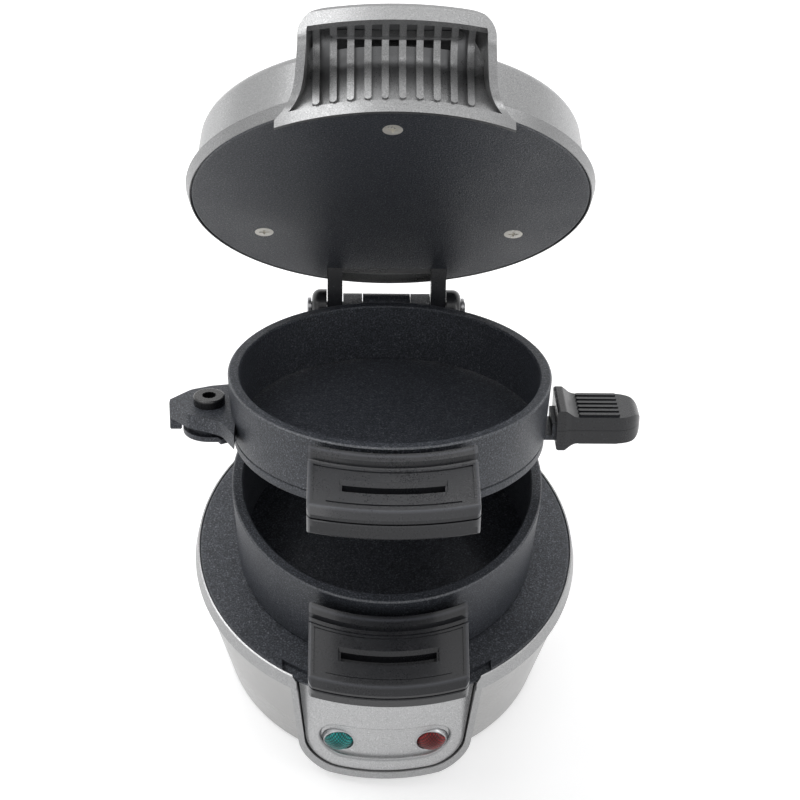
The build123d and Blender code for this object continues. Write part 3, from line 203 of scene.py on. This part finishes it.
def stretched(tree, vector, scale):
    mapping = tree.nodes.new("ShaderNodeMapping")
    mapping.inputs["Scale"].default_value = scale
    tree.links.new(vector, mapping.inputs["Vector"])
    return mapping.outputs["Vector"]


def axes(tree, vector):
    """The x, y and z of a vector."""
    split = tree.nodes.new("ShaderNodeSeparateXYZ")
    tree.links.new(vector, split.inputs["Vector"])
    return split.outputs["X"], split.outputs["Y"], split.outputs["Z"]


def noise(tree, vector, scale, detail=2.0, roughness=0.5):
    """Noise with a number of cells to the millimetre."""
    node = tree.nodes.new("ShaderNodeTexNoise")
    tree.links.new(vector, node.inputs["Vector"])
    node.inputs["Scale"].default_value = scale
    node.inputs["Detail"].default_value = detail
    node.inputs["Roughness"].default_value = roughness
    return node.outputs["Fac"]


def ramp(tree, value, *stops):
    """Colour ramp from (position, colour) stops."""
    node = tree.nodes.new("ShaderNodeValToRGB")
    elements = node.color_ramp.elements
    while len(elements) < len(stops):
        elements.new(0.5)
    for element, (position, colour) in zip(elements, stops):
        element.position = position
        element.color = (*colour, 1.0)
    tree.links.new(value, node.inputs["Fac"])
    return node.outputs["Color"]


def mixed(tree, factor, a, b):
    """Blend of two colours by a factor."""
    node = tree.nodes.new("ShaderNodeMix")
    node.data_type = "RGBA"
    sockets = [s for s in node.inputs if s.type == "RGBA"]
    for socket, value in zip(sockets, (a, b)):
        fed = isinstance(value, bpy.types.NodeSocket)
        link(tree, value if fed else (*value, 1.0), socket)
    tree.links.new(factor, next(s for s in node.inputs if s.type == "VALUE"))
    return next(s for s in node.outputs if s.type == "RGBA")


def calc(tree, operation, a, b=0.0):
    node = tree.nodes.new("ShaderNodeMath")
    node.operation = operation
    link(tree, a, node.inputs[0])
    link(tree, b, node.inputs[1])
    return node.outputs["Value"]


def product(tree, first, *others):
    for other in others:
        first = calc(tree, "MULTIPLY", first, other)
    return first


def distance(tree, value, centre):
    return calc(tree, "ABSOLUTE", calc(tree, "SUBTRACT", value, centre))


def hypotenuse(tree, a, b):
    return calc(tree, "SQRT", calc(tree, "ADD", product(tree, a, a), product(tree, b, b)))


def spread(tree, value, span, result):
    """Linear change of a value from one pair of numbers to another, held at both ends."""
    node = tree.nodes.new("ShaderNodeMapRange")
    keys = ("From Min", "From Max", "To Min", "To Max")
    for key, number in zip(keys, (*span, *result)):
        node.inputs[key].default_value = number
    tree.links.new(value, node.inputs["Value"])
    return node.outputs["Result"]


def rise(tree, value, span):
    """0 below a span and 1 above it."""
    return spread(tree, value, span, (0.0, 1.0))


def fall(tree, value, span):
    """1 below a span and 0 above it."""
    return spread(tree, value, span, (1.0, 0.0))


def near(tree, value, centre, half):
    """1 at a number and 0 from half a width away."""
    return fall(tree, distance(tree, value, centre), (0.0, half))


def bump(tree, shader, height, strength, depth):
    """Relief of a depth in metres."""
    node = tree.nodes.new("ShaderNodeBump")
    node.inputs["Strength"].default_value = strength
    node.inputs["Distance"].default_value = depth
    tree.links.new(height, node.inputs["Height"])
    tree.links.new(node.outputs["Normal"], shader.inputs["Normal"])


# ---- Painted shade and highlights by place ----
def painted_shade_between_ribs(tree, vector):
    """Painted shade: 1 on the cove's floor between the ribs, and 0 elsewhere."""
    x, y, z = axes(tree, vector)
    across = calc(tree, "SUBTRACT", x, RIB_OFFSET)
    step = calc(tree, "FRACT", calc(tree, "DIVIDE", across, RIB_PITCH))
    bar = product(
        tree,
        fall(tree, distance(tree, y, BAR_Y), BAR_HALF),
        fall(tree, z, BAR_TOP),
    )
    return product(
        tree,
        rise(tree, distance(tree, step, 0.5), RIB_SIDE),
        fall(tree, calc(tree, "ABSOLUTE", across), ROW_END),
        rise(tree, z, COVE_FOOT),
        fall(tree, z, COVE_TOP),
        fall(tree, hypotenuse(tree, x, y), COVE_REACH),
        calc(tree, "SUBTRACT", 1.0, bar),
    )


def recess_painted_shade(tree, vector):
    """Painted shade: above 0 along the wall of the panel's oblong recess."""
    x, y, z = axes(tree, vector)
    past_run = calc(tree, "SUBTRACT", calc(tree, "ABSOLUTE", x), RECESS_RUN)
    past_run = calc(tree, "MAXIMUM", past_run, 0.0)
    up = calc(tree, "SUBTRACT", z, RECESS_Z)
    past_outline = calc(tree, "SUBTRACT", hypotenuse(tree, past_run, up), RECESS_ROUND)
    wall = near(tree, past_outline, *RECESS_WALL)
    strongest = 0.75
    return product(tree, wall, fall(tree, y, PANEL_BACK), strongest)


def tab_painted_highlights(tree, vector):
    """Painted highlight: above 0 along a tab's sides, the crease of its front bevel and the
    crest at its root.
    """
    x, y, _ = axes(tree, vector)
    radius = hypotenuse(tree, x, y)
    edges = near(tree, calc(tree, "ABSOLUTE", x), TAB_SIDE, HIGHLIGHT_HALF)
    for line, half in TAB_CREASES:
        edges = calc(tree, "MAXIMUM", edges, near(tree, radius, line, half))
    strongest = 0.8
    return product(tree, edges, strongest)


# ---- Materials ----
def nonstick(name, angle, edge=None):
    """Cast metal under a dark coating with fine pale flakes, and a painted highlight along one
    edge.
    """
    mat, tree, shader = new_material(name)
    vector = place(tree, angle)
    grain = noise(tree, vector, 1.7, detail=3.0, roughness=0.7)
    flakes = noise(tree, vector, 1.9, detail=1.0)
    cloud = noise(tree, vector, 0.035, detail=3.0)
    colour = ramp(
        tree,
        flakes,
        (0.34, COATING_DARK),
        (0.52, COATING),
        (0.65, scaled(COATING, 1.7)),
        (0.77, COATING_FLAKE),
    )
    # Painted highlight: a pale line along the rim, broken up by the grain.
    if edge:
        radius, height = edge
        x, y, z = axes(tree, vector)
        painted_highlight = product(
            tree,
            near(tree, hypotenuse(tree, x, y), radius, HIGHLIGHT_HALF),
            near(tree, z, height, HIGHLIGHT_HALF),
            spread(tree, grain, (0.40, 0.62), (0.1, 1.0)),
        )
        colour = mixed(tree, painted_highlight, colour, COATING_PAINTED_HIGHLIGHT)
    link(tree, colour, shader.inputs["Base Color"])
    link(tree, spread(tree, cloud, NOISE_SPAN, (0.36, 0.48)), shader.inputs["Roughness"])
    shader.inputs["Metallic"].default_value = 0.2
    shader.inputs["Specular IOR Level"].default_value = 0.45
    bump(tree, shader, grain, 0.5, 0.0003)
    return mat


def silver_paint(name, angle, tone, shade_of=None):
    """Metallic paint with fine flakes, darkened by painted shade where shade_of gives a number
    above zero.
    """
    mat, tree, shader = new_material(name)
    vector = place(tree, angle)
    flakes = noise(tree, vector, 2.6, detail=1.0)
    cloud = noise(tree, vector, 0.05)
    stops = [(position, scaled(SILVER_TINT, tone * level)) for position, level in SILVER_LEVELS]
    colour = ramp(tree, flakes, *stops)
    if shade_of:
        # Painted shade: a darker colour where shade_of gives a number above zero.
        colour = mixed(tree, shade_of(tree, vector), colour, scaled(SILVER_PAINTED_SHADE, tone))
    link(tree, colour, shader.inputs["Base Color"])
    flake_rough = spread(tree, flakes, NOISE_SPAN, (0.38, 0.27))
    patches = spread(tree, cloud, NOISE_SPAN, (-0.03, 0.03))
    link(tree, calc(tree, "ADD", flake_rough, patches), shader.inputs["Roughness"])
    shader.inputs["Metallic"].default_value = 0.82
    bump(tree, shader, flakes, 0.16, 0.0001)
    return mat


def satin_steel(name):
    """Sheet with very fine lines that run round the wall."""
    mat, tree, shader = new_material(name)
    vector = place(tree, SHUT)
    lines = noise(tree, stretched(tree, vector, (0.03, 0.03, 7.0)), 1.0)
    cloud = noise(tree, vector, 0.03, detail=3.0)
    colour = ramp(tree, lines, (0.3, STEEL_DARK), (0.7, STEEL_PALE))
    link(tree, colour, shader.inputs["Base Color"])
    line_rough = spread(tree, lines, NOISE_SPAN, (0.24, 0.31))
    patches = spread(tree, cloud, NOISE_SPAN, (-0.03, 0.04))
    link(tree, calc(tree, "ADD", line_rough, patches), shader.inputs["Roughness"])
    shader.inputs["Metallic"].default_value = 0.95
    bump(tree, shader, lines, 0.03, 0.0001)
    return mat


def moulded(name, colour, rough, gloss, angle=SHUT, painted_highlight=None):
    """Plastic or rubber with a fine eroded grain, paler with a painted highlight where the last
    argument gives more than zero.
    """
    mat, tree, shader = new_material(name)
    vector = place(tree, angle)
    grain = noise(tree, vector, 1.7, detail=3.0, roughness=0.65)
    cloud = noise(tree, vector, 0.09)
    shade = ramp(
        tree,
        grain,
        (0.3, scaled(colour, 0.75)),
        (0.62, colour),
        (0.76, scaled(colour, 3.2)),
    )
    if painted_highlight:
        # Painted highlight: a paler colour along the marked places.
        shade = mixed(tree, painted_highlight(tree, vector), shade, scaled(colour, 4.0))
    link(tree, shade, shader.inputs["Base Color"])
    grain_rough = spread(tree, grain, NOISE_SPAN, (rough - 0.05, rough + 0.07))
    patches = spread(tree, cloud, NOISE_SPAN, (-0.04, 0.05))
    link(tree, calc(tree, "ADD", grain_rough, patches), shader.inputs["Roughness"])
    shader.inputs["Specular IOR Level"].default_value = 0.3
    shader.inputs["Coat Weight"].default_value = gloss
    shader.inputs["Coat Roughness"].default_value = 0.12
    bump(tree, shader, grain, 0.16, 0.00012)
    return mat


def stained(name, colour, rough, metallic=1.0):
    """Metal, paint or glass of a small piece, with a faint uneven stain."""
    mat, tree, shader = new_material(name)
    vector = place(tree, SHUT)
    stain = noise(tree, vector, 0.35, detail=4.0)
    shade = ramp(tree, stain, (0.3, scaled(colour, 0.78)), (0.7, colour))
    link(tree, shade, shader.inputs["Base Color"])
    stain_rough = spread(tree, stain, NOISE_SPAN, (rough - 0.06, rough + 0.1))
    link(tree, stain_rough, shader.inputs["Roughness"])
    shader.inputs["Metallic"].default_value = metallic
    bump(tree, shader, stain, 0.08, 0.0001)
    return mat


def lens(name, deep, bright):
    """Tinted cap with a grid of facets moulded inside, set at 45 degrees."""
    mat, tree, shader = new_material(name)
    vector = place(tree, SHUT)
    x, _, z = axes(tree, vector)
    waves = []
    for operation in ("ADD", "SUBTRACT"):
        diagonal = product(tree, calc(tree, operation, x, z), pi / FACET_PITCH)
        waves.append(calc(tree, "ABSOLUTE", calc(tree, "SINE", diagonal)))
    facets = product(tree, *waves)
    middle = [(a + b) / 2 for a, b in zip(deep, bright)]
    tint = ramp(tree, facets, (0.05, deep), (0.45, middle), (0.9, bright))
    cloud = noise(tree, vector, 0.18, detail=1.0)
    depth = spread(tree, cloud, (0.35, 0.65), (0.0, 0.7))
    link(tree, mixed(tree, depth, tint, deep), shader.inputs["Base Color"])
    shader.inputs["Roughness"].default_value = 0.12
    shader.inputs["Transmission Weight"].default_value = 0.04
    shader.inputs["Specular IOR Level"].default_value = 0.2
    shader.inputs["Coat Weight"].default_value = 0.15
    shader.inputs["Coat Roughness"].default_value = 0.03
    bump(tree, shader, facets, 0.35, 0.0003)
    return mat


def tab_plastic(name, angle):
    """Black plastic of a ring's tab, with painted highlights along its edges."""
    return moulded(name, PLASTIC, PLASTIC_ROUGH, PLASTIC_GLOSS, angle, tab_painted_highlights)


# Each material with the nodes that wear it.
FINISHES = (
    (nonstick("nonstick_base_plate", SHUT, LOWER_PLATE_EDGE), "lower_heating_plate"),
    (nonstick("nonstick_bottom_ring", SHUT, BOTTOM_RING_EDGE), "bottom_ring"),
    (nonstick("nonstick_top_ring", TOP_RING_ANGLE, TOP_RING_EDGE), "top_ring"),
    (nonstick("nonstick_egg_plate", TOP_RING_ANGLE), "cooking_plate"),
    (nonstick("nonstick_lid_plate", LID_ANGLE, UPPER_PLATE_EDGE), "upper_heating_plate"),
    (silver_paint("silver_paint_base", SHUT, tone=0.35), "trim_band"),
    (silver_paint("silver_paint_lid", LID_ANGLE, tone=0.27), "lid_band"),
    (silver_paint("silver_paint_wall", LID_ANGLE, tone=0.33), "lid_shell"),
    (silver_paint("silver_paint_grille", LID_ANGLE, 0.28, painted_shade_between_ribs), "lid_handle"),
    (silver_paint("silver_paint_panel", SHUT, 0.46, recess_painted_shade), "front_panel"),
    (satin_steel("satin_steel"), "base_shell"),
    (
        moulded("black_plastic", PLASTIC, PLASTIC_ROUGH, PLASTIC_GLOSS),
        "plate_handle_upper plate_handle_lower hinge_tower bottom_cover lid_hinge",
    ),
    (tab_plastic("tab_plastic", SHUT), "bottom_handle_cover bottom_handle_base"),
    (tab_plastic("tab_plastic_top", TOP_RING_ANGLE), "top_handle_cover top_handle_base"),
    (moulded("black_oxide", (0.006, 0.006, 0.007), rough=0.25, gloss=0.5), "pivot_screw"),
    (
        moulded("black_rubber", (0.02, 0.02, 0.02), rough=0.7, gloss=0.0),
        "rubber_feet cord_gland",
    ),
    (moulded("phenolic", (0.05, 0.035, 0.025), rough=0.5, gloss=0.0), "thermostat"),
    (
        stained("plated_steel", (0.45, 0.45, 0.46), rough=0.34),
        "hinge_pin pin_clip base_screws tower_screws bottom_handle_screws top_handle_screws "
        "pivot_nut plate_handle_screw lid_handle_screws lid_hinge_screws thermal_fuse",
    ),
    (
        stained("screw_plating", (0.86, 0.83, 0.76), rough=0.3, metallic=0.35),
        "upper_plate_screws",
    ),
    (
        stained("heater_tube", (0.22, 0.2, 0.19), rough=0.5),
        "lower_heating_element upper_heating_element",
    ),
    (stained("mill_aluminium", (0.6, 0.6, 0.61), rough=0.4), "lid_frame"),
    (
        stained("lamp_glass", (0.7, 0.62, 0.55), rough=0.15, metallic=0.0),
        "indicator_lamps",
    ),
    (lens("lens_green", deep=(0.0, 0.05, 0.048), bright=(0.01, 0.60, 0.56)), "preheat_lens"),
    (lens("lens_red", deep=(0.05, 0.0, 0.001), bright=(0.60, 0.005, 0.008)), "power_lens"),
)


def dress(obj, material):
    obj.data.materials.clear()
    obj.data.materials.append(material)


for finish, names in FINISHES:
    for node_name in names.split():
        dress(nodes[node_name], finish)


# ---- Lens collars ----
def collar_section(mesh, centre, rim, angle):
    """Points of a collar's section at an angle round its lens, on the bent, leaning panel."""
    section = []
    for past, share, proud in COLLAR_PROFILE:
        reach = LENS_RADIUS + past
        x, z = centre.x + reach * cos(angle), centre.z + reach * sin(angle)
        floor = sqrt((RECESS_FLOOR - PANEL_LEAN * (z - centre.z)) ** 2 - x**2)
        y = -(floor + share * (rim - floor) + proud)
        section.append(mesh.verts.new((Vector((x, y, z)) + ORIGIN) / MM))
    return section


def lens_ring(name, node, material):
    """Pale collar from the floor of the recess up to the rim of a lens."""
    low, high = corners(node)
    centre = (low + high) / 2 - ORIGIN
    rim = -(low - ORIGIN).y - LENS_DOME
    mesh = bmesh.new()
    angles = [2 * pi * i / COLLAR_STEPS for i in range(COLLAR_STEPS)]
    sections = [collar_section(mesh, centre, rim, angle) for angle in angles]
    for section, following in zip(sections, sections[1:] + sections[:1]):
        for j in range(len(section)):
            k = (j + 1) % len(section)
            face = mesh.faces.new((section[j], following[j], following[k], section[k]))
            face.smooth = True
    bmesh.ops.recalc_face_normals(mesh, faces=mesh.faces)
    data = bpy.data.meshes.new(name)
    mesh.to_mesh(data)
    mesh.free()
    obj = bpy.data.objects.new(name, data)
    bpy.context.scene.collection.objects.link(obj)
    dress(obj, material)
    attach(obj, "base")


collar_paint = stained("bright_paint", (0.46, 0.465, 0.475), rough=0.28, metallic=0.9)
lens_ring("preheat_lens_ring", "preheat_lens", collar_paint)
lens_ring("power_lens_ring", "power_lens", collar_paint)


# ---- Light, floor, backdrop and camera ----
def area_light(name, place_at, target, size, power):
    light = bpy.data.lights.new(name, "AREA")
    light.shape = "RECTANGLE"
    light.size, light.size_y = size
    light.energy = power
    obj = bpy.data.objects.new(name, light)
    obj.location = place_at
    obj.rotation_mode = "QUATERNION"
    aim = Vector(target) - Vector(place_at)
    obj.rotation_quaternion = aim.to_track_quat("-Z", "Y")
    bpy.context.scene.collection.objects.link(obj)


def backdrop_seen(tree):
    """1 for rays that see the backdrop, directly or in metal and glass, and 0 for its light."""
    path = tree.nodes.new("ShaderNodeLightPath")
    seen = path.outputs["Is Camera Ray"]
    for ray in ("Is Glossy Ray", "Is Transmission Ray"):
        seen = calc(tree, "MAXIMUM", seen, path.outputs[ray])
    return seen


def make_world(level):
    """Plain grey light on the object, and white wherever the backdrop is seen."""
    world = bpy.data.worlds.new("studio")
    bpy.context.scene.world = world
    world.use_nodes = True
    tree = world.node_tree
    background = next(n for n in tree.nodes if n.type == "BACKGROUND")
    light = (level, level, level * 1.02)
    colour = mixed(tree, backdrop_seen(tree), light, (1, 1, 1))
    link(tree, colour, background.inputs["Color"])
    background.inputs["Strength"].default_value = 1.0


def make_floor():
    """Pale floor that takes the object's shadow, and glows to the eye, most of all far away."""
    mesh = bpy.data.meshes.new("floor")
    signs = ((-1, -1), (1, -1), (1, 1), (-1, 1))
    points = [(x * FLOOR_HALF, y * FLOOR_HALF, 0) for x, y in signs]
    mesh.from_pydata(points, [], [(0, 1, 2, 3)])
    floor = bpy.data.objects.new("floor", mesh)
    floor.location = (0, 0, -FLOOR_DROP)
    bpy.context.scene.collection.objects.link(floor)
    mat, tree, shader = new_material("floor_paper")
    coord = tree.nodes.new("ShaderNodeTexCoord")
    x, y, _ = axes(tree, coord.outputs["Object"])
    glow = spread(tree, hypotenuse(tree, x, y), FLOOR_NEAR_AND_FAR, FLOOR_GLOW)
    glow = product(tree, backdrop_seen(tree), glow)
    link(tree, glow, shader.inputs["Emission Strength"])
    shader.inputs["Emission Color"].default_value = (1, 1, 1, 1)
    shader.inputs["Base Color"].default_value = FLOOR_COLOUR
    shader.inputs["Roughness"].default_value = 0.9
    mesh.materials.append(mat)


def make_camera():
    """Camera at the photograph's place, with its slight roll."""
    data = bpy.data.cameras.new("photo_camera")
    camera = bpy.data.objects.new("photo_camera", data)
    bpy.context.scene.collection.objects.link(camera)
    bpy.context.scene.camera = camera
    data.sensor_width = 36.0
    data.sensor_fit = "HORIZONTAL"
    data.lens = CAMERA_LENS
    data.clip_start, data.clip_end = 0.01, 50.0
    ahead, down = cos(CAMERA_PITCH), sin(CAMERA_PITCH)
    forward = Vector((sin(CAMERA_YAW) * ahead, cos(CAMERA_YAW) * ahead, -down))
    level = Vector((cos(CAMERA_YAW), -sin(CAMERA_YAW), 0))
    up = level.cross(forward)
    right = cos(CAMERA_ROLL) * level + sin(CAMERA_ROLL) * up
    top = cos(CAMERA_ROLL) * up - sin(CAMERA_ROLL) * level
    turn = Matrix((right, top, -forward)).transposed()
    camera.matrix_world = Matrix.Translation(CAMERA_PLACE) @ turn.to_4x4()


make_world(WORLD_LEVEL)
make_floor()
make_camera()
for lamp in LAMPS:
    area_light(*lamp)

bpy.context.scene.view_settings.view_transform = "Standard"
